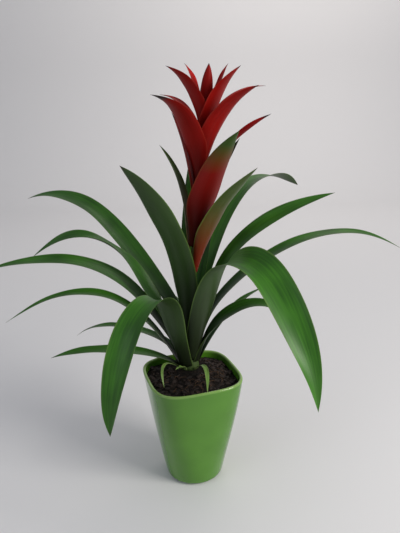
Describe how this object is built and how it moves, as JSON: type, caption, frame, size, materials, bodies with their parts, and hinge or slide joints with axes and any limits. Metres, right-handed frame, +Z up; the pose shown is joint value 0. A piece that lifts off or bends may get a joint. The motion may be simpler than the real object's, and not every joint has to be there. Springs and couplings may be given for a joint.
{
  "type": "potted plant",
  "caption": "Potted bromeliad with arching strap leaves and a tall spike of red bracts, standing in a tapered rounded-square glazed green cover pot.",
  "frame": {"origin": "centre of the pot's flat underside", "axes": "+Z up along the pot; -Y towards the viewer of the front; +X to the right seen from the front"},
  "size_m": [0.591, 0.3694, 0.5677],
  "materials": {
    "glazed_green": "gloss",
    "dark_potting_mix": "matte",
    "stem_green": "satin",
    "leaf_green": "satin",
    "leaf_pale": "satin",
    "bract_green": "satin",
    "bract_red": "satin"
  },
  "bodies": {
    "root": {"pot": "glazed_green", "potting_mix": "dark_potting_mix", "flower_stem": "stem_green", "leaf_left_lowest": "leaf_green", "leaf_back_left_low": "leaf_green", "leaf_left_low": "leaf_green", "leaf_back_low": "leaf_green", "leaf_front_left": "leaf_green", "leaf_right_short": "leaf_green", "leaf_back_inner_left": "leaf_green", "leaf_right_twisted": "leaf_green", "leaf_back_inner_right": "leaf_green", "leaf_left_long": "leaf_green", "leaf_front_right": "leaf_green", "leaf_left_folded": "leaf_green", "leaf_right_low": "leaf_green", "leaf_right_long": "leaf_green", "leaf_left_arched": "leaf_green", "leaf_right_arched": "leaf_green", "leaf_left_upright": "leaf_green", "leaf_back_right_upright": "leaf_green", "leaf_back_left_upright": "leaf_green", "basal_leaf_left": "leaf_pale", "basal_leaf_front": "leaf_pale", "basal_leaf_left_inner": "leaf_pale", "bract_right_green": "bract_green", "bract_left_narrow": "bract_green", "bract_front_broad": "bract_red", "bract_right_short": "bract_red", "bract_left_edge": "bract_red", "bract_right_narrow": "bract_red", "bract_left_middle": "bract_red", "bract_right_behind": "bract_red", "bract_right_middle": "bract_red", "bract_left_behind": "bract_red", "bract_right_top": "bract_red", "bract_left_top": "bract_red", "bract_left_thin": "bract_red", "bract_back_short": "bract_red", "bract_bud": "bract_red"}
  },
  "joints": []
}
